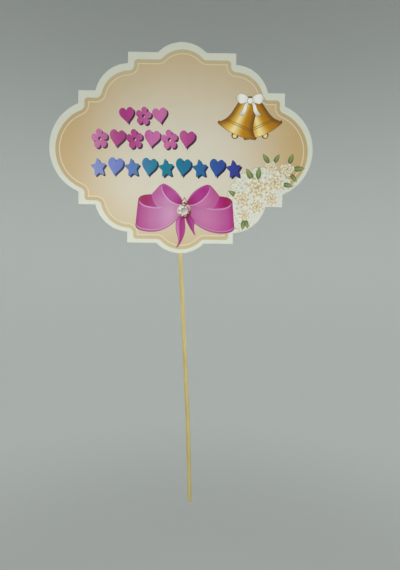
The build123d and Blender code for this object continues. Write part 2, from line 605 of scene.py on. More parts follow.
def glueMaker():
    maker = Maker("glueLumps", {"Board Back": "Float", "Lump Size": "Float", "Lump Height": "Float",
                                "Ripple Size": "Float", "Ripple Height": "Float"})
    position = maker.add("GeometryNodeInputPosition")
    _, y, _ = maker.parts(position)
    free = maker.ramp(y - maker.input("Board Back"), glue["heldBelow"] * mm, glue["freeAbove"] * mm)
    push = 0.0
    for label in ("Lump", "Ripple"):
        noise = maker.noise(position, 1 / maker.input(label + " Size"), detail=1.0)
        push = noise * maker.input(label + " Height") + push
    maker.close(maker.pushed(maker.input("Geometry"), push * free))
    return maker


def makeGlue():
    maker = glueMaker()
    values = {
        "Board Back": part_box("back_paper")[1].y, "Finish": glueFinish(),
        "Lump Size": glue["lump"] * mm, "Lump Height": glue["lumpHeight"] * mm,
        "Ripple Size": glue["ripple"] * mm, "Ripple Height": glue["rippleHeight"] * mm,
    }
    for node, label in glue["pieces"].items():
        piece = maker.run(label, values, evened(nodes[node].data, glue["grid"] * mm))
        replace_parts(keep(piece), node)


makeGlue()
print("glue made")

# Stick: its centre line and thickness, in millimetres along it from the tip
stick = {
    "radius": 2.0, "tipRadius": 1.35, "tipLength": 7.0, "tipRounding": 0.6, "endBevel": 0.4,
    "length": 300.0, "grip": 58.5, "bow": 26.0, "bowAngle": 1.2, "lean": 3.3,
    "tipStations": (0.0, 0.18, 0.42, 0.6, 1.5, 3.0, 5.0), "step": 3.0, "lastStep": 1.0, "sides": 48,
    "waver": 0.1, "waverScale": (90.0, 90.0, 30.0), "fibre": 0.05, "fibreScale": (1100.0, 1100.0, 14.0),
}
bamboo = {
    "pale": paint(219, 206, 151), "warm": paint(195, 172, 101), "dark": paint(154, 122, 61), "ior": 1.45,
    # each pattern: scale across and along the grain, width of a patch, detail, roughness
    "streaks": (1.0, 0.02, 1.6, 3.0, 0.6), "patches": (0.2, 0.03, 1.0, 2.0, 0.5),
    "bundles": (5.0, 0.06, 1.6, 1.0, 0.5), "fibres": (5.0, 0.06, 1.0, 3.0, 0.65),
    "streakShare": 0.6, "patchShare": 0.4, "paleSpan": (0.32, 0.68), "bundleSpan": (0.6, 0.72),
    "bundleShare": 0.45, "shade": 0.85, "shadeSpread": 0.3, "roughness": 0.35, "roughnessSpread": 0.22,
    "depth": 0.06, "bump": 0.6,
}


def stickLine():  # points from the tip up, each with its radius
    lower = math.radians(stick["lean"] - stick["bowAngle"])
    upper = math.radians(stick["lean"])
    gripFrom = stick["tipLength"]
    bowFrom = gripFrom + stick["grip"]
    bevelFrom = stick["length"] - stick["endBevel"]
    stations = [*stick["tipStations"], gripFrom]
    while stations[-1] + stick["step"] < stick["length"] - stick["lastStep"]:
        stations.append(stations[-1] + stick["step"])
    stations += [bevelFrom, stick["length"]]
    points = []
    position = Vector((-math.sin(lower), 0, math.cos(lower))) * -(stick["grip"] / 2 + gripFrom)
    last = 0.0
    for station in stations:
        share = min(max(((last + station) / 2 - bowFrom) / stick["bow"], 0.0), 1.0)
        angle = lower + (upper - lower) * share
        position = position + Vector((-math.sin(angle), 0, math.cos(angle))) * (station - last)
        last = station
        taper = min(station / stick["tipLength"], 1.0)
        radius = stick["tipRadius"] + (stick["radius"] - stick["tipRadius"]) * taper
        rounding = max(1 - station / stick["tipRounding"], 0.0)
        radius -= stick["tipRounding"] * (1 - math.sqrt(1 - rounding**2))
        points.append((position, radius - max(station - bevelFrom, 0.0)))
    return points


def stickFinish():
    finish = Finish("bamboo", IOR=bamboo["ior"])
    grain = finish.add("ShaderNodeAttribute", {"attribute_name": "grain"}, output="Vector")

    def pattern(name):
        across, along, size, detail, roughness = bamboo[name]
        scale = (across / mm, across / mm, along / mm)
        stretched = finish.add("ShaderNodeMapping", {}, {"Vector": grain, "Scale": scale})
        return finish.noise(stretched, size, detail, roughness)

    fibres = pattern("fibres")
    bundles = finish.ramp(pattern("bundles"), *bamboo["bundleSpan"])
    paleness = pattern("streaks") * bamboo["streakShare"] + pattern("patches") * bamboo["patchShare"]
    colour = finish.blend(finish.ramp(paleness, *bamboo["paleSpan"]), bamboo["warm"], bamboo["pale"])
    colour = finish.blend(bundles * bamboo["bundleShare"], colour, bamboo["dark"])
    finish.feed("Base Color", finish.tone(colour, fibres * bamboo["shadeSpread"] + bamboo["shade"]))
    finish.feed("Roughness", fibres * bamboo["roughnessSpread"] + bamboo["roughness"])
    finish.bump(fibres, bamboo["depth"] * mm, bamboo["bump"])
    return finish.material


def stickMaker():
    maker = Maker("stickSweep", {"Sides": "Int", "Waver": "Float", "Fibre Depth": "Float"})
    line = maker.add("GeometryNodeMeshToCurve", {}, {"Mesh": maker.input("Geometry")})
    line = maker.store(line, "reach", maker.add("GeometryNodeSplineParameter", output="Length"))
    sockets = {"Resolution": maker.input("Sides"), "Radius": 1.0}
    profile = maker.add("GeometryNodeCurvePrimitiveCircle", {}, sockets)
    profile = maker.store(profile, "around", maker.add("GeometryNodeInputPosition"), "FLOAT_VECTOR")
    thickness = maker.read("thickness")
    sockets = {"Curve": line, "Profile Curve": profile, "Scale": thickness, "Fill Caps": True}
    swept = maker.add("GeometryNodeCurveToMesh", {}, sockets)
    x, y, _ = maker.parts(maker.read("around", "FLOAT_VECTOR"))
    grain = maker.vector(x * thickness, y * thickness, maker.read("reach"))
    marked = maker.store(swept, "grain", grain, "FLOAT_VECTOR")
    push = 0.0
    for label, scale, detail in (("Waver", "waverScale", 1.0), ("Fibre Depth", "fibreScale", 2.0)):
        sockets = {0: maker.read("grain", "FLOAT_VECTOR"), 1: stick[scale]}
        stretched = maker.add("ShaderNodeVectorMath", {"operation": "MULTIPLY"}, sockets)
        push = maker.noise(stretched, 1.0, detail) * maker.input(label) + push
    maker.close(maker.pushed(marked, push))
    return maker


def makeStick():
    points = stickLine()
    start = bpy.data.meshes.new("stickLine")
    start.from_pydata([point for point, _ in points], [(i, i + 1) for i in range(len(points) - 1)], [])
    widths = start.attributes.new("thickness", "FLOAT", "POINT")
    widths.data.foreach_set("value", [radius * mm for _, radius in points])
    start.transform(Matrix.Scale(mm, 4))
    values = {"Sides": stick["sides"], "Waver": stick["waver"] * mm, "Fibre Depth": stick["fibre"] * mm,
              "Finish": stickFinish()}
    piece = stickMaker().run("stickDressed", values, start)
    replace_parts(keep(piece), "stick")


makeStick()
print("stick made")

# Print: a frame of two bands that follows the outline, and the ground inside it
frameInk = {
    "shift": (0.55, -1.4), "margin": 5.0, "cornerRounding": 3.0, "bandTo": 8.2, "lineTo": 9.2, "inkGap": 0.03,
    "level": 1, "band": paint(207, 190, 149), "bandSides": paint(202, 177, 127), "sidesSpan": (45.0, 105.0),
    "line": paint(231, 213, 184), "middle": paint(224, 217, 199), "edge": paint(207, 177, 125),
    "lightHeight": -20.0, "reachUp": 148.0, "reachDown": 100.0, "reachSide": 112.0, "sidePower": 1.5,
    "edgeSpan": (0.1, 1.0), "cloud": 40.0, "cloudShade": 0.08,
}
boardOutline = rimLoop(nodes["print_film"])


def groundColour(finish, point):  # light in the middle, deeper towards the edge
    x, _, z = finish.parts(point)
    above = finish.maths("MAXIMUM", z - frameInk["lightHeight"], 0.0) / frameInk["reachUp"]
    below = finish.maths("MAXIMUM", frameInk["lightHeight"] - z, 0.0) / frameInk["reachDown"]
    aside = (abs(x) / frameInk["reachSide"]) ** frameInk["sidePower"]
    distance = ((above + below) ** 2.0 + aside ** 2.0) ** 0.5
    distance = distance + finish.vary(point, frameInk["cloud"], frameInk["cloudShade"])
    return finish.blend(finish.ramp(distance, *frameInk["edgeSpan"]), frameInk["middle"], frameInk["edge"])


def bandColour(finish, point):  # deeper towards the two sides
    x, _, _ = finish.parts(point)
    return finish.blend(finish.ramp(abs(x), *frameInk["sidesSpan"]), frameInk["band"], frameInk["bandSides"])


def makeGround():  # a small gap parts the three inks
    level, gap, rounding = frameInk["level"], frameInk["inkGap"], frameInk["cornerRounding"]
    printOutline = [point + Vector(frameInk["shift"]) for point in boardOutline]
    bandOutside = inset(inset(printOutline, frameInk["margin"] + rounding), -rounding)
    bandInside = inset(printOutline, frameInk["bandTo"])
    lineInside = inset(printOutline, frameInk["lineTo"])
    layer = PrintLayer("printGround")
    layer.shape([bandOutside, bandInside], level, printed("bandTan", bandColour))
    layer.shape([inset(bandInside, gap), lineInside], level, plainInk("lineCream", frameInk["line"]))
    layer.shape([inset(lineInside, gap)], level, printed("groundBeige", groundColour))
    layer.place()


makeGround()
print("print frame and ground made")

# Rows of party motifs, each with a dark shadow below and to the right
motifs = {
    "rows": {
        "upper": {"motifs": ("heart", "flower"), "count": 3, "from": (-57.0, 21.0), "to": (-12.0, 37.0)},
        "middle": {"motifs": ("flower", "heart"), "count": 6, "from": (-82.0, -0.5), "to": (13.0, 17.0)},
        "lower": {"motifs": ("star", "heart"), "count": 9, "from": (-83.0, -26.0), "to": (56.0, -8.0)},
    },
    "gap": 1.0, "tilt": 7.0, "shadowShift": (1.5, -1.4), "level": 4, "shadowLevel": 3,
    "span": (-83.0, 56.0), "gloss": 5.0, "glossShade": 0.2,
    "pink": [(0.0, (214, 128, 182)), (0.22, (178, 52, 132)), (0.45, (208, 112, 172)), (0.7, (180, 58, 134)),
             (1.0, (170, 40, 118))],
    "blue": [(0.0, (132, 148, 206)), (0.22, (104, 126, 198)), (0.42, (22, 128, 158)), (0.6, (16, 120, 152)),
             (0.8, (44, 92, 164)), (1.0, (54, 54, 146))],
    "plumShadow": paint(70, 36, 62), "navyShadow": paint(34, 40, 76),
}


def heartLoop(count=44, wide=33, high=31, lift=2.6):
    loop = []
    for i in range(count):
        t = 2 * math.pi * i / count
        x = 16 * math.sin(t) ** 3
        z = 13 * math.cos(t) - 5 * math.cos(2 * t) - 2 * math.cos(3 * t) - math.cos(4 * t)
        loop.append(Vector((x / wide, (z + lift) / high)))
    return loop


def starLoop(points=5, inner=0.27, outer=0.54, drop=0.03, rounding=0.05):
    loop = []
    for i in range(2 * points):
        angle = math.pi / 2 + math.pi * i / points
        radius = outer if i % 2 == 0 else inner
        loop.append(Vector((radius * math.cos(angle), radius * math.sin(angle) - drop)))
    return spaced(inset(inset(loop, rounding), -rounding))


def flowerLoop(petals=5, count=80, middle=0.24, petal=0.28):
    loop = []
    for i in range(count):
        angle = 2 * math.pi * i / count
        radius = middle + petal * math.sqrt(abs(math.cos(petals * angle / 2)))
        loop.append(Vector((radius * math.sin(angle), radius * math.cos(angle))))
    return loop


def motifObject(name, loops):  # one unit wide and one unit thick, to be scaled on each point
    motif = FlatShapes(name)
    spots, faces, inks = cutShape(loops, lambda owners: owners == {0})
    motif.slab(spots, faces, -1.0, 0.0, inks)
    return bpy.data.objects.new(name, motif.build())


def rowMaker():
    maker = Maker("motifRow", {"First Motif": "Object", "Second Motif": "Object", "Count": "Int",
                               "Start": "Vector", "Pitch": "Float", "Size": "Vector", "Tilt": "Float"})
    sockets = {"Count": maker.input("Count"), "Start Location": maker.input("Start"),
               "Offset": maker.vector(maker.input("Pitch"), 0.0, 0.0)}
    points = maker.add("GeometryNodeMeshLine", {}, sockets)
    odd = maker.maths("MODULO", maker.add("GeometryNodeInputIndex"), 2.0)
    lean = maker.vector(0.0, (odd * 2 - 1) * maker.input("Tilt"), 0.0)
    joined = maker.tree.nodes.new("GeometryNodeJoinGeometry")
    for label, chosen in (("First Motif", 1 - odd), ("Second Motif", odd)):
        maker.plug(joined.inputs[0], maker.copies(points, label, lean, maker.input("Size"), chosen))
    maker.close(Wire(maker, joined.outputs[0]))
    return maker


def rowInk(name, stops):  # the colours run along all rows, from left to right
    def colourOf(finish, point):
        x, _, _ = finish.parts(point)
        low, high = motifs["span"]
        gloss = finish.vary(point, motifs["gloss"], motifs["glossShade"])
        return finish.tone(finish.stops((x - low) / (high - low), stops), gloss + 1.0)

    return printed(name, colourOf)


def makeRows():
    eye = ring((0, 0), radius=0.1, count=16)
    loops = {"heart": [heartLoop()], "star": [starLoop()], "flower": [flowerLoop(), eye]}
    shapes = {name: motifObject(name, shapeLoops) for name, shapeLoops in loops.items()}
    maker = rowMaker()
    pink = (rowInk("motifPink", motifs["pink"]), plainInk("shadowPlum", motifs["plumShadow"]))
    blue = (rowInk("motifBlue", motifs["blue"]), plainInk("shadowNavy", motifs["navyShadow"]))
    places = (("Motifs", (0.0, 0.0), motifs["level"]),
              ("Shadows", motifs["shadowShift"], motifs["shadowLevel"]))
    for name, row in motifs["rows"].items():
        first, second = row["motifs"]
        (left, bottom), (right, top) = row["from"], row["to"]
        pitch = (right - left) / row["count"]
        height = top - bottom
        wide = min(pitch - motifs["gap"], height)
        middle = Vector((left + pitch / 2, (bottom + top) / 2))
        for (label, shift, level), ink in zip(places, blue if name == "lower" else pink):
            spot = (middle + Vector(shift)) * mm
            thickness = level * PrintLayer.inkStep + PrintLayer.inkRoot
            values = {
                "First Motif": shapes[first], "Second Motif": shapes[second], "Count": row["count"],
                "Start": faceCentre + Vector((spot.x, PrintLayer.inkRoot, spot.y)),
                "Pitch": pitch * mm, "Size": (wide * mm, thickness, height * mm),
                "Tilt": math.radians(motifs["tilt"]), "Finish": ink,
            }
            keep(maker.run(name + label, values))


makeRows()
print("motif rows made")

# Bow: ribbon faces between two edges, drawn from the outer end towards the knot
flapShade = [(0.0, (250, 246, 250)), (0.5, (255, 255, 255)), (0.93, (246, 232, 242)), (1.0, (226, 196, 216))]
bow = {
    "leftRim": {
        "edges": ([(-38.4, -45.6), (-36.8, -43.4), (-33.5, -42.1), (-29.5, -41.6), (-26.2, -41.5),
                   (-22, -43.5), (-20.5, -48)],
                  [(-38.4, -46), (-36, -48.8), (-32.5, -50.7), (-28, -51.7), (-24, -52), (-21.5, -52),
                   (-20.5, -52)]),
        "level": 4,
        "stops": [(0.0, (172, 26, 104)), (0.25, (160, 8, 82)), (0.5, (168, 20, 106)),
                  (0.75, (178, 44, 130)), (1.0, (184, 60, 140))],
    },
    "leftBand": {
        "edges": ([(-17.9, -32.3), (-20, -34.4), (-23, -37.8), (-25.7, -40.7), (-26.3, -42.8), (-24.8, -47.5),
                   (-22.2, -51.6), (-16, -56), (-2, -58)],
                  [(-17.2, -32.2), (-16.6, -36.5), (-14.2, -41), (-10.5, -45.2), (-6.5, -48), (-2.5, -49.6),
                   (0.5, -49.9)]),
        "level": 5,
        "stops": [(0.0, (196, 112, 170)), (0.3, (196, 104, 168)), (0.6, (204, 140, 184)),
                  (1.0, (196, 122, 170))],
        "lines": [(0.95, 0.07, (226, 172, 212), 0.0, 1.1)],
        "across": [(0.0, (246, 232, 242)), (0.3, (246, 236, 243)), (0.7, (255, 255, 255)),
                   (1.0, (255, 255, 255))],
    },
    "leftLens": {
        "edges": ([(-17.6, -32.5), (-15.2, -31.6), (-11.5, -33.2), (-7, -36.2), (-3, -40), (0.3, -44),
                   (2.2, -47)],
                  [(-17.6, -32.7), (-16.4, -36.5), (-13.9, -40.8), (-10.2, -44.9), (-6.3, -47.7),
                   (-2.3, -49.2), (0.8, -49.7)]),
        "level": 6,
        "stops": [(0.0, (187, 86, 160)), (0.2, (178, 58, 141)), (0.5, (187, 76, 154)),
                  (0.8, (175, 54, 135)), (1.0, (146, 28, 96))],
        "lines": [(0.04, 0.1, (196, 96, 168), 0.0, 1.1)],
    },
    "leftFlap": {
        "edges": ([(-38.4, -45.6), (-36.4, -48.6), (-32.8, -50.9), (-28.4, -52), (-24, -52.4), (-20, -52.4),
                   (-12, -51.4), (-4, -50.6), (1, -50.6)],
                  [(-40.9, -69.2), (-40.3, -71.4), (-37.6, -73.3), (-33, -74.5), (-27, -75), (-20, -74.2),
                   (-13, -71.4), (-7, -67.2), (-3.2, -63.6), (1, -60)]),
        "level": 7,
        "stops": [(0.0, (168, 40, 124)), (0.1, (182, 70, 144)), (0.3, (193, 106, 163)),
                  (0.5, (200, 130, 178)), (0.72, (210, 152, 191)), (0.88, (202, 136, 178)),
                  (1.0, (184, 104, 152))],
        "lines": [(0.03, 0.05, (222, 158, 204), 0.06, 0.62), (0.93, 0.03, (226, 170, 210), 0.05, 1.0)],
        "across": flapShade,
    },
    "rightRim": {
        "edges": ([(47.4, -46.9), (45.6, -44.6), (42.5, -43.2), (38.8, -42.6), (35.4, -42.4), (31, -44.5),
                   (29.5, -49)],
                  [(47.4, -47.2), (44.8, -50.1), (41, -51.9), (36.8, -52.7), (32.6, -52.9), (30, -52.8),
                   (29, -52.8)]),
        "level": 4,
        "stops": [(0.0, (170, 36, 104)), (0.25, (158, 24, 84)), (0.5, (171, 25, 109)),
                  (0.75, (184, 56, 137)), (1.0, (190, 84, 154))],
    },
    "rightBand": {
        "edges": ([(27.2, -32.5), (29.4, -34.8), (32.3, -38.2), (34.7, -41.1), (35.5, -43), (33.9, -47.5),
                   (31, -52), (24, -56.4), (9, -58.5)],
                  [(26.8, -32.4), (26.2, -36.5), (23.7, -40.9), (20, -44.9), (15.8, -48), (11.6, -49.8),
                   (7.4, -50.3)]),
        "level": 5,
        "stops": [(0.0, (191, 96, 157)), (0.3, (197, 97, 161)), (0.6, (203, 119, 170)),
                  (1.0, (190, 100, 154))],
        "lines": [(0.95, 0.07, (220, 158, 204), 0.0, 1.1)],
        "across": [(0.0, (244, 226, 238)), (0.3, (244, 232, 240)), (0.7, (255, 255, 255)),
                   (1.0, (255, 255, 255))],
    },
    "rightLens": {
        "edges": ([(26.3, -32.5), (24.6, -31.9), (21, -33), (16.5, -35.4), (12.2, -38.8), (8.8, -43),
                   (6.2, -47.4)],
                  [(26.8, -32.8), (25.8, -36.5), (23.3, -40.7), (19.6, -44.6), (15.4, -47.6), (11.3, -49.4),
                   (7, -50)]),
        "level": 6,
        "stops": [(0.0, (182, 66, 148)), (0.25, (174, 44, 134)), (0.55, (178, 52, 142)),
                  (0.8, (166, 34, 116)), (1.0, (146, 22, 84))],
        "lines": [(0.04, 0.1, (192, 88, 162), 0.0, 1.1)],
    },
    "rightFlap": {
        "edges": ([(47.4, -46.9), (45, -50.3), (41.2, -52.2), (36.8, -53), (32.6, -53.2), (29, -53.2),
                   (20, -52.2), (12, -51.2), (6, -50.8)],
                  [(49.4, -70.2), (49, -72.5), (46.2, -74.4), (41.5, -75.5), (36, -75.7), (29.5, -74.8),
                   (22.5, -72.4), (16, -68.6), (11, -64.6), (6, -60)]),
        "level": 7,
        "stops": [(0.0, (174, 44, 126)), (0.12, (187, 74, 148)), (0.32, (196, 103, 162)),
                  (0.55, (202, 121, 171)), (0.78, (197, 115, 167)), (1.0, (180, 88, 146))],
        "lines": [(0.03, 0.05, (218, 150, 198), 0.06, 0.62), (0.93, 0.03, (218, 152, 200), 0.05, 1.0)],
        "across": flapShade,
    },
    "leftTail": {
        "edges": ([(-0.6, -60), (-3.2, -64.5), (-3.9, -69), (-3.3, -74.5), (-1.9, -79.5), (-1.2, -83.5),
                   (-2.2, -87.3), (-3.2, -89.2)],
                  [(3.4, -60), (4.2, -66), (4.4, -71), (3.9, -76), (2.4, -80.5), (0.6, -84.3), (-1.2, -87.3),
                   (-2.9, -89.1)]),
        "level": 8,
        "stops": [(0.0, (164, 56, 124)), (0.2, (202, 114, 170)), (0.6, (202, 126, 170)),
                  (1.0, (180, 96, 142))],
        "across": [(0.0, (250, 236, 246)), (0.26, (252, 240, 250)), (0.42, (222, 124, 204)),
                   (0.7, (218, 112, 198)), (1.0, (226, 140, 210))],
    },
    "rightTail": {
        "edges": ([(4.6, -60), (6, -65), (8, -69), (10.4, -72.8), (12.2, -75.6), (13.4, -77.4)],
                  [(9.2, -60), (11.3, -63.2), (12.9, -65.8), (12.6, -69.5), (12.6, -73.5), (13.7, -77.2)]),
        "level": 8,
        "stops": [(0.0, (156, 36, 112)), (0.3, (182, 64, 150)), (1.0, (186, 84, 158))],
        "across": [(0.0, (232, 190, 220)), (0.4, (222, 168, 208)), (0.7, (255, 250, 255)),
                   (1.0, (236, 200, 226))],
    },
}
bowEdge = {"colour": paint(148, 38, 108), "width": 0.3, "level": 3.1, "step": 0.1, "underTail": 0.5}


def makeBow():
    layer = PrintLayer("printedBow")
    edge = plainInk("bowEdge", bowEdge["colour"])
    for i, (name, ribbon) in enumerate(bow.items()):
        inkName = "bow" + name[0].upper() + name[1:]
        ink = ribbonInk(inkName, ribbon["stops"], ribbon.get("lines", ()), ribbon.get("across"))
        layer.ribbon(ribbon["edges"], ribbon["level"], ink, along=40, across=10)
        below = bowEdge["level"] + bowEdge["step"] * i
        if name.endswith("Tail"):
            below = ribbon["level"] - bowEdge["underTail"]
        layer.outline(ribbon["edges"], bowEdge["width"], below, edge)
    layer.place()


makeBow()
print("bow made")

# Gem on the knot: a round cut stone in a metal rim, with a drop stone above it
gem = {
    "centre": (3.5, -56.0), "rim": 6.6, "stone": 5.4, "table": 3.5, "sides": 8, "level": 10,
    "drop": [(3.7, -43.2), (5.4, -46.2), (6.6, -48.6), (5.9, -50.6), (3.6, -51.4), (1.3, -50.6), (0.7, -48.6),
             (2.0, -46.2)],
    "dropMiddle": (3.65, -48.4), "dropStone": 0.8, "eye": 0.9,
    "light": 2.5, "contrast": 1.6, "sparkle": (0, 1, -1), "slant": (-0.06, 0.11), "slantSpan": (-0.6, 0.5),
    "rimLight": paint(226, 204, 194), "rimDark": paint(120, 30, 48), "dropRim": paint(112, 78, 62),
    "tones": {"Wine": paint(124, 34, 58), "Rose": paint(198, 124, 138), "Grey": paint(150, 138, 136),
              "Cream": paint(222, 204, 194), "White": paint(240, 230, 224)},
}


def slantColour(lower, upper):  # one colour at the lower right of the gem, another at its upper left
    def colourOf(finish, point):
        x, _, z = finish.parts(point)
        slantX, slantZ = gem["slant"]
        slope = (z - gem["centre"][1]) * slantZ + (x - gem["centre"][0]) * slantX
        return finish.blend(finish.ramp(slope, *gem["slantSpan"]), lower, upper)

    return colourOf


def makeGem():
    layer = PrintLayer("printedGem")
    inks = [plainInk("gem" + name, colour) for name, colour in gem["tones"].items()]
    rimInk = printed("gemRim", slantColour(gem["rimDark"], gem["rimLight"]))
    tableInk = printed("gemTable", slantColour(gem["tones"]["White"], gem["tones"]["Grey"]))
    level = gem["level"]
    sides = gem["sides"]

    def facetInk(corners, middle, count):  # facets that face the light are pale, with a sparkle on each third
        away = sum(corners, Vector((0, 0))) / len(corners) - middle
        facing = math.cos(math.atan2(away.y, away.x) - gem["light"])
        tone = round(len(inks) // 2 + gem["contrast"] * facing) + gem["sparkle"][count % 3]
        return inks[min(max(tone, 0), len(inks) - 1)]

    def cut(facets, height):  # facets with their inks, side by side
        loops = [corners for corners, _ in facets]
        layer.shape(loops, height, lambda owners: owners and facets[max(owners)][1])

    layer.shape([ring(gem["centre"], gem["rim"], count=40)], level, rimInk)
    middle = Vector(gem["centre"])
    outer = ring(gem["centre"], gem["stone"], 2 * sides)
    table = ring(gem["centre"], gem["table"], sides)
    facets = [(table, tableInk)]
    for i in range(sides):
        low, half, high = outer[2 * i], outer[2 * i + 1], outer[(2 * i + 2) % (2 * sides)]
        here, there = table[i], table[(i + 1) % sides]
        for k, corners in enumerate(([here, low, half], [here, half, there], [there, half, high])):
            facets.append((corners, facetInk(corners, middle, k)))
    cut(facets, level + 1)
    drop = curveThrough(gem["drop"] + gem["drop"][:1], 4 * sides)[:-1]
    dropMiddle = Vector(gem["dropMiddle"])
    layer.shape([drop], level + 1.5, plainInk("dropRim", gem["dropRim"]))
    inner = [dropMiddle.lerp(corner, gem["dropStone"]) for corner in drop[::4]]
    facets = []
    for i in range(sides):
        corners = [dropMiddle, inner[i], inner[(i + 1) % sides]]
        facets.append((corners, facetInk(corners, dropMiddle, i)))
    cut(facets, level + 2)
    layer.shape([ring(gem["dropMiddle"], gem["eye"], count=16)], level + 2.5, inks[0])
    layer.place()


makeGem()
print("gem made")

# Bells: two gold bells that hang from a white ribbon
bells = {
    "anchor": (62.0, 44.0), "height": 29.0, "tilts": (25.0, -23.0), "level": 4, "step": 4, "edge": 0.3,
    "side": [(-0.05, 0.0), (-0.18, -0.04), (-0.29, -0.16), (-0.335, -0.36), (-0.38, -0.6), (-0.46, -0.8),
             (-0.56, -0.92), (-0.6, -1.0)],
    "lipTop": [(-0.65, -0.985), (-0.61, -0.95), (-0.3, -0.985), (0, -0.995), (0.3, -0.985), (0.61, -0.95),
               (0.65, -0.985)],
    "lipBottom": [(-0.65, -0.995), (-0.62, -1.03), (-0.33, -1.1), (0, -1.125), (0.33, -1.1), (0.62, -1.03),
                  (0.65, -0.995)],
    "clapper": (0.0, -1.16), "clapperRadius": 0.11, "shineSpot": (0.0, -1.18), "shineRadius": 0.066,
    "loop": (0.0, 0.05), "loopRadii": (0.09, 0.0495),
    "rings": (0.2, 0.8, 0.86), "ringHalf": (0.006, 0.018), "ringShare": 0.7,
    "gold": [(0.0, (138, 92, 24)), (0.14, (186, 134, 40)), (0.32, (238, 202, 108)), (0.42, (250, 230, 160)),
             (0.6, (212, 158, 56)), (0.85, (168, 114, 30)), (1.0, (124, 80, 20))],
    "dark": paint(112, 70, 18), "shine": paint(246, 222, 146),
    "ribbonLoop": ([(0.04, 0.07), (0.35, 0.4), (0.8, 0.5), (1.05, 0.22)],
                   [(0.04, -0.08), (0.35, -0.14), (0.75, -0.2), (1.05, 0.16)]),
    "ribbonTail": ([(0.04, -0.02), (0.2, -0.35), (0.3, -0.8), (0.52, -1.15)],
                   [(0.14, 0.0), (0.4, -0.3), (0.56, -0.7), (0.82, -1.02)]),
    "ribbonSize": 12.0, "knot": 2.4, "ribbonEdge": paint(170, 160, 132), "knotWhite": paint(250, 250, 244),
    "white": [(0.0, (206, 204, 190)), (0.25, (240, 240, 232)), (0.6, (250, 250, 244)),
              (0.85, (228, 227, 216)), (1.0, (208, 206, 194))],
}


def bellGold(name, byWidth):  # gold that shines over the width of a piece, or else along it
    def colourOf(finish, point):
        along, side, _ = finish.parts(finish.marks())
        if not byWidth:
            return finish.stops(along, bells["gold"])
        colour = finish.stops(side, bells["gold"])
        for at in bells["rings"]:
            near = 1 - finish.ramp(abs(along - at), *bells["ringHalf"])
            colour = finish.blend(near * bells["ringShare"], colour, bells["dark"])
        return colour

    return printed(name, colourOf)


def makeBells():
    layer = PrintLayer("printedBells")
    gold = bellGold("bellGold", True)
    lipGold = bellGold("bellLip", False)
    dark = plainInk("bellDark", bells["dark"])
    shine = plainInk("bellShine", bells["shine"])
    level = bells["level"]
    for tilt in bells["tilts"]:
        place = (bells["anchor"], bells["height"], tilt)
        clapper = ring(bells["clapper"], bells["clapperRadius"], count=24)
        shineSpot = ring(bells["shineSpot"], bells["shineRadius"], count=20)
        loop = [ring(bells["loop"], radius, count=24) for radius in bells["loopRadii"]]
        body = [turned(side, *place) for side in (bells["side"], mirrored(bells["side"]))]
        lip = [turned(side, *place) for side in (bells["lipTop"], bells["lipBottom"])]
        layer.shape([turned(clapper, *place)], level, dark)
        layer.shape([turned(shineSpot, *place)], level + 0.5, shine)
        layer.shape([turned(circle, *place) for circle in loop], level, dark)
        layer.outline(body, bells["edge"], level + 1, dark)
        layer.outline(lip, bells["edge"], level + 1.5, dark)
        layer.ribbon(body, level + 2, gold, along=30, across=14)
        layer.ribbon(lip, level + 3, lipGold, along=30, across=3)
        level += bells["step"]
    white = ribbonInk("ribbonWhite", bells["white"])
    edge = plainInk("ribbonEdge", bells["ribbonEdge"])
    knot = plainInk("ribbonKnot", bells["knotWhite"])
    for part in ("ribbonTail", "ribbonLoop"):
        for mirror in (1, -1):
            sides = [turned(line, bells["anchor"], bells["ribbonSize"], 0, mirror) for line in bells[part]]
            layer.outline(sides, bells["edge"], level, edge)
            layer.ribbon(sides, level + 0.5, white, along=24, across=8)
        level += 1
    layer.shape([ring(bells["anchor"], bells["knot"] + bells["edge"], count=24)], level, edge)
    layer.shape([ring(bells["anchor"], bells["knot"], count=24)], level + 0.5, knot)
    layer.place()


makeBells()
print("bells made")

# Lace mat: a scalloped white sheet with rings of holes, cut off at the board's edge
lace = {
    "centre": (75.0, -48.0), "radius": 33.0, "scallops": 30, "scallopRise": 1.8, "scallopSteps": 8,
    "holes": [(30.4, 60, 0.55), (27.6, 60, 0.8), (23.6, 30, 1.3), (20.6, 45, 0.6)], "holeSides": 10,
    "level": 2, "boardGap": 0.4, "edge": 0.4, "edgeUnder": 0.1, "underGap": 0.1,
    "white": paint(226, 228, 216), "edgeColour": paint(184, 162, 118), "under": paint(212, 197, 164),
    "pleats": 30, "pleatShade": 0.025, "cloud": 12.0, "cloudShade": 0.08, "shade": 0.95,
}


def laceColour(finish, point):
    x, _, z = finish.parts(point)
    angle = finish.maths("ARCTAN2", z - lace["centre"][1], x - lace["centre"][0])
    pleat = finish.maths("SINE", angle * lace["pleats"])
    cloud = finish.noise(point, lace["cloud"])
    return finish.tone(lace["white"], pleat * lace["pleatShade"] + cloud * lace["cloudShade"] + lace["shade"])


def laceRim(grow):
    steps = lace["scallops"] * lace["scallopSteps"]
    rim = []
    for i in range(steps):
        angle = 2 * math.pi * i / steps
        rise = abs(math.sin(angle * lace["scallops"] / 2)) * lace["scallopRise"]
        reach = lace["radius"] - lace["scallopRise"] + rise + grow
        rim.append(Vector(lace["centre"]) + Vector((math.cos(angle), math.sin(angle))) * reach)
    return rim


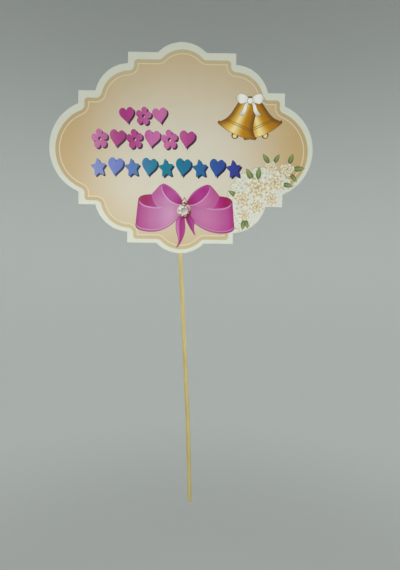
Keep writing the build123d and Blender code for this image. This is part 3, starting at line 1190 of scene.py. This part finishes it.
def makeLace():
    border = inset(boardOutline, lace["boardGap"])
    holes = []
    for reach, count, radius in lace["holes"]:
        holes += [ring(spot, radius, lace["holeSides"]) for spot in ring(lace["centre"], reach, count)]
    layer = PrintLayer("printedLace")
    edge = plainInk("laceEdge", lace["edgeColour"])
    under = plainInk("laceUnder", lace["under"])  # shows in the holes
    white = printed("laceWhite", laceColour)
    below = [laceRim(lace["edge"]), laceRim(-lace["edgeUnder"]), inset(border, lace["underGap"])]
    layer.shape(below, lace["level"] - 0.5,
                lambda owners: {0, 2} <= owners and (under if 1 in owners else edge))
    layer.shape([laceRim(0.0), border] + holes, lace["level"], lambda owners: owners == {0, 1} and white)
    layer.place()


makeLace()
print("lace made")

# Roses: petals that turn by the golden angle from the outside in, with leaves around them
roses = {
    "places": [(70, -34, 10.5), (86.5, -29, 8.5), (57, -44.5, 8), (70, -50.5, 7), (83, -43.5, 6.5),
               (97, -17, 6.5), (59, -59, 5.5), (83, -15, 5.5)],
    "petals": 16, "petalTurn": math.pi * (3 - math.sqrt(5)), "reach": 0.46, "outerSize": 0.56,
    "sizeLoss": 0.3, "roseTurn": 1.3, "lift": 0.01, "level": 6, "stagger": 0.0012,
    "petalSide": [(-0.26, 0.0), (-0.66, 0.3), (-0.8, 0.64), (-0.56, 0.95), (0.0, 1.04)],
    "petal": [(0.0, (168, 142, 92)), (0.25, (212, 196, 156)), (0.6, (236, 228, 206)), (0.9, (250, 247, 238)),
              (1.0, (206, 192, 158))],
    "shading": [(0.0, (208, 198, 176)), (0.2, (255, 255, 255)), (0.8, (255, 255, 255)),
                (1.0, (200, 190, 168))],
}
leaves = {
    "places": [(0, 120, 12), (0, 85, 11), (2, 150, 9), (7, 125, 10), (7, 60, 9), (5, 70, 10), (5, 5, 11),
               (5, -50, 9), (1, -10, 10), (6, 262, 9), (6, 285, 8)],  # rose, direction and length
    "level": 4.4, "step": 0.12, "side": [(0.0, 0.0), (0.3, 0.18), (0.65, 0.17), (1.0, 0.0)], "from": 0.75,
    "edge": 0.25, "edgeBelow": 0.5, "edgeColour": paint(62, 78, 36),
    "green": [(0.0, (86, 104, 54)), (0.4, (112, 132, 70)), (1.0, (146, 160, 96))],
    "rib": (0.5, 0.09, (178, 188, 130), 0.0, 1.0), "ribShare": 0.8,
}


def roseMaker():
    maker = Maker("rose", {"Petal": "Object", "Petals": "Int", "Middle": "Vector", "Radius": "Float",
                           "Turn": "Float", "Lift": "Float"})
    points = maker.add("GeometryNodeMeshLine", {}, {"Count": maker.input("Petals"), "Offset": (0, 0, 0)})
    index = maker.add("GeometryNodeInputIndex")
    inner = index / (maker.input("Petals") - 1)
    angle = index * roses["petalTurn"] + maker.input("Turn")
    reach = (1 - inner) * maker.input("Radius") * roses["reach"]
    offset = maker.vector(maker.maths("COSINE", angle) * reach, -(index * maker.input("Lift")),
                          maker.maths("SINE", angle) * reach)
    place = maker.add("ShaderNodeVectorMath", {"operation": "ADD"}, {0: maker.input("Middle"), 1: offset})
    spread = maker.add("GeometryNodeSetPosition", {}, {"Geometry": points, "Position": place})
    size = (roses["outerSize"] - inner * roses["sizeLoss"]) * maker.input("Radius")
    turn = maker.vector(0.0, math.pi / 2 - angle, 0.0)
    maker.close(maker.copies(spread, "Petal", turn, maker.vector(size, maker.input("Lift"), size)))
    return maker


def makeRoses():
    petal = FlatShapes("petal")
    spots, faces, uv = ribbonGrid(roses["petalSide"], mirrored(roses["petalSide"]), along=8, across=6)
    petal.slab(spots, faces, -1.0, 0.0, [None] * len(faces), uv)
    ink = ribbonInk("rosePetal", roses["petal"], (), roses["shading"])
    shared = {"Petal": bpy.data.objects.new("petal", petal.build()), "Petals": roses["petals"],
              "Lift": roses["lift"] * mm, "Finish": ink}
    maker = roseMaker()
    gathered = bmesh.new()
    for i, (x, z, radius) in enumerate(roses["places"]):
        height = roses["level"] * PrintLayer.inkStep + i * roses["stagger"] * mm
        middle = faceCentre + Vector((x * mm, -height, z * mm))
        values = {**shared, "Middle": middle, "Radius": radius * mm, "Turn": i * roses["roseTurn"]}
        rose = maker.run("rose", values)
        gathered.from_mesh(rose.data)
        bpy.data.objects.remove(rose)
    data = toMesh("printedRoses", gathered)
    data.materials.append(ink)
    keep(addObject("printedRoses", data))


def makeLeaves():  # each leaf starts under the rim of its rose
    layer = PrintLayer("printedLeaves")
    green = ribbonInk("leafGreen", leaves["green"], [leaves["rib"]], lineShare=leaves["ribShare"])
    edge = plainInk("leafEdge", leaves["edgeColour"])
    under = [(x, -z) for x, z in leaves["side"]]
    for i, (rose, degrees, length) in enumerate(leaves["places"]):
        x, z, radius = roses["places"][rose]
        start = turned([(leaves["from"], 0.0)], (x, z), radius, degrees)[0]
        sides = [turned(side, start, length, degrees) for side in (leaves["side"], under)]
        level = leaves["level"] + leaves["step"] * i
        layer.outline(sides, leaves["edge"], level - leaves["edgeBelow"], edge, along=14)
        layer.ribbon(sides, level, green, along=14, across=6)
    layer.place()


makeRoses()
makeLeaves()
print("roses and leaves made")

# Camera, at the photograph's place
view = {"offset": (17.617, -389.214, -101.275), "turn": (86.698, -0.854, -0.166), "lens": 26.526}
camera = addObject("camera", bpy.data.cameras.new("camera"))
camera.data.lens = view["lens"]
camera.location = faceCentre + Vector(view["offset"]) * mm
camera.rotation_euler = [math.radians(angle) for angle in view["turn"]]
scene.camera = camera

# Studio, in metres: a pale round floor that bends up into a wall all around, its paint graded with painted
# light and shade, and soft lamps
studio = {
    "floor": -0.3, "middle": 0.009, "bendFrom": 0.45, "bendRadius": 2.5, "bendSteps": 20, "top": 4.0,
    "steps": 96, "paint": paint(215, 219, 216), "roughness": 0.9, "world": (0.25, 0.254, 0.252, 1.0),
    # each painted grade of light and shade: how much lighter, from where, to where
    "paintedLightOutwards": [(0.32, 0.3, 0.9), (0.155, 0.9, 2.3)], "upwards": [(-0.57, 0.0, 2.3)],
}
lamps = {
    "keyLamp": {"power": 0.94, "size": 0.16, "from": (0.01, -0.4, -0.135), "aim": (0, 1, 0),
                "unseen": "glossy"},
    "sheenLamp": {"power": 0.37, "size": 0.2, "from": (-0.19, -0.39, -0.01), "unseen": "diffuse"},
    "backLamp": {"power": 0.42, "size": 0.3, "from": (-0.55, 0.5, 0.3), "spread": 62.0},
    "edgeLamp": {"power": 0.3, "size": 0.3, "from": (0.7, 0.3, 0.1), "spread": 62.0},
    "topLamp": {"power": 24.0, "size": 2.4, "from": (0.011, 0.0074, 3.1), "aim": (0, 0, -1)},
}


def stageFinish():
    finish = Finish("stagePaint", Roughness=studio["roughness"])
    x, y, z = finish.parts(finish.add("ShaderNodeTexCoord", output="Object"))
    reach = (x * x + y * y) ** 0.5
    # painted light and shade: the paint grows lighter away from the middle and darker up the wall
    grade = 1.0
    for value, grades in ((reach, studio["paintedLightOutwards"]), (z, studio["upwards"])):
        for amount, start, end in grades:
            grade = finish.ramp(value, start, end) * amount + grade
    finish.feed("Base Color", finish.tone(studio["paint"], grade))
    return finish.material


def makeStage():
    radius = studio["bendRadius"]
    profile = [(studio["middle"], studio["floor"])]
    for i in range(studio["bendSteps"] + 1):
        angle = math.pi / 2 * i / studio["bendSteps"]
        rise = radius * (1 - math.cos(angle))
        profile.append((studio["bendFrom"] + radius * math.sin(angle), studio["floor"] + rise))
    profile.append((studio["bendFrom"] + radius, studio["top"]))
    steps = studio["steps"]
    count = len(profile)
    verts = []
    faces = [[k * count for k in range(steps)]]
    for k in range(steps):
        turn = 2 * math.pi * k / steps
        verts += [(reach * math.cos(turn), reach * math.sin(turn), z) for reach, z in profile]
        here, there = k * count, (k + 1) % steps * count
        faces += [(here + i + 1, there + i + 1, there + i, here + i) for i in range(count - 1)]
    data = bpy.data.meshes.new("stage")
    data.from_pydata(verts, [], faces)
    data.shade_smooth()
    data.materials.append(stageFinish())
    addObject("stage", data)


def addLamp(name, lamp):
    light = bpy.data.lights.new(name, "AREA")
    light.shape = "DISK"
    light.energy = lamp["power"]
    light.size = lamp["size"]
    light.spread = math.radians(lamp.get("spread", 180.0))
    offset = Vector(lamp["from"])  # from the middle of the printed face
    aim = Vector(lamp.get("aim", -offset))
    holder = addObject(name, light)
    holder.location = faceCentre + offset
    holder.rotation_euler = aim.to_track_quat("-Z", "Y").to_euler()
    holder.visible_camera = False
    if "unseen" in lamp:
        setattr(holder, "visible_" + lamp["unseen"], False)


makeStage()
world = bpy.data.worlds.new("studio")
world.use_nodes = True
world.node_tree.nodes["Background"].inputs["Color"].default_value = studio["world"]
scene.world = world
for name, lamp in lamps.items():
    addLamp(name, lamp)
print("camera, stage and light set")
